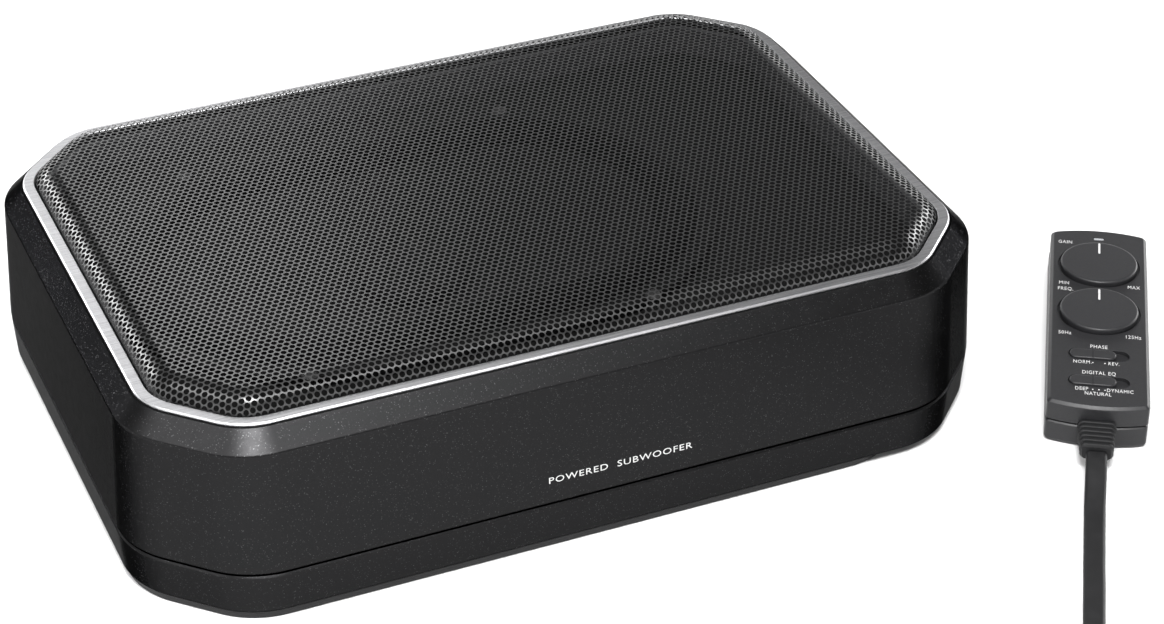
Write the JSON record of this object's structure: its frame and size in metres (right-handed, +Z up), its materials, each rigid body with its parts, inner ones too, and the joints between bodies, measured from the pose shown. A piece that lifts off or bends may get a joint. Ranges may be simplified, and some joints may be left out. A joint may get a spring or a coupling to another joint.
{
  "type": "powered car subwoofer",
  "caption": "Flat under-seat powered subwoofer with a domed perforated grille in a brushed ring, and a wired remote with turning and sliding controls.",
  "frame": {"origin": "centre of the cabinet's underside, on the floor", "axes": "+Z up, +X along the cabinet's length towards its socket end, +Y from the front wall to the back wall"},
  "size_m": [0.3657, 0.4485, 0.07],
  "materials": {
    "body_paint": "satin black textured paint on die-cast",
    "base_plastic": "matte black",
    "brushed_trim": "brushed along the length",
    "mesh_paint": "black powder coat",
    "black_plastic": "fine grain",
    "screw_steel": "zinc plated",
    "rubber": "matte",
    "basket_paint": "black paint on pressed steel",
    "plated_steel": "zinc plated",
    "ferrite": "sintered ferrite",
    "former_film": "polyimide film",
    "copper": "enamelled copper wire",
    "spider_cloth": "impregnated cloth",
    "cone_paper": "pressed paper pulp",
    "circuit_board": "solder mask",
    "heatsink_aluminium": "extruded",
    "capacitor_sleeve": "printed sleeve",
    "remote_plastic": "satin",
    "knob_plastic": "fine grain",
    "lens": "translucent",
    "cord_jacket": "soft satin",
    "clear_plastic": "clear"
  },
  "bodies": {
    "cabinet": {"upper_housing": "body_paint", "lower_housing": "body_paint", "base_plate": "base_plastic", "trim_ring": "brushed_trim", "grille_mesh": "mesh_paint", "grille_frame": "black_plastic", "housing_screw_1": "screw_steel", "housing_screw_2": "screw_steel", "housing_screw_3": "screw_steel", "housing_screw_4": "screw_steel", "rubber_foot_1": "rubber", "rubber_foot_2": "rubber", "rubber_foot_3": "rubber", "rubber_foot_4": "rubber", "speaker_gasket": "rubber", "basket": "basket_paint", "yoke": "plated_steel", "magnet": "ferrite", "top_plate": "plated_steel", "spider": "spider_cloth", "surround": "rubber", "speaker_screw_1": "screw_steel", "speaker_screw_2": "screw_steel", "speaker_screw_3": "screw_steel", "speaker_screw_4": "screw_steel", "amplifier_board": "circuit_board", "board_screw_1": "screw_steel", "board_screw_2": "screw_steel", "heatsink": "heatsink_aluminium", "capacitor_1": "capacitor_sleeve", "capacitor_2": "capacitor_sleeve", "output_choke": "copper", "power_socket": "black_plastic", "remote_jack": "black_plastic", "line_inputs": "black_plastic", "remote_cover": "remote_plastic", "remote_back": "remote_plastic", "remote_board": "circuit_board", "gain_pot": "black_plastic", "freq_pot": "black_plastic", "phase_switch": "black_plastic", "eq_switch": "black_plastic", "power_lens": "lens", "remote_screw_1": "screw_steel", "remote_screw_2": "screw_steel", "strain_relief": "rubber", "cord_lead": "cord_jacket", "cord_coil": "cord_jacket", "cord_tail": "cord_jacket", "coil_tie": "cord_jacket", "modular_plug": "clear_plastic"},
    "gain_knob": {"gain_knob": "knob_plastic"},
    "freq_knob": {"freq_knob": "knob_plastic"},
    "phase_slider": {"phase_slider": "knob_plastic"},
    "eq_slider": {"eq_slider": "knob_plastic"},
    "cone_assembly": {"cone": "cone_paper", "dust_cap": "cone_paper", "coil_former": "former_film", "voice_coil": "copper"}
  },
  "joints": [
    {"name": "gain_knob_turn", "type": "hinge", "parent": "cabinet", "child": "gain_knob", "pos_m": [0.20207, -0.04737, 0.0155], "axis": [0, 0, 1], "range_deg": [-150, 150]},
    {"name": "freq_knob_turn", "type": "hinge", "parent": "cabinet", "child": "freq_knob", "pos_m": [0.18692, -0.07198, 0.0155], "axis": [0, 0, 1], "range_deg": [-150, 150]},
    {"name": "phase_slide", "type": "slide", "parent": "cabinet", "child": "phase_slider", "axis": [0.8517, -0.524, 0], "range_m": [0, 0.0038]},
    {"name": "eq_slide", "type": "slide", "parent": "cabinet", "child": "eq_slider", "axis": [0.8517, -0.524, 0], "range_m": [0, 0.0038]},
    {"name": "cone_travel", "type": "slide", "parent": "cabinet", "child": "cone_assembly", "axis": [0, 0, 1], "range_m": [-0.005, 0.005], "stiffness_N_per_m": 2500, "deforming": ["surround", "spider"]}
  ]
}
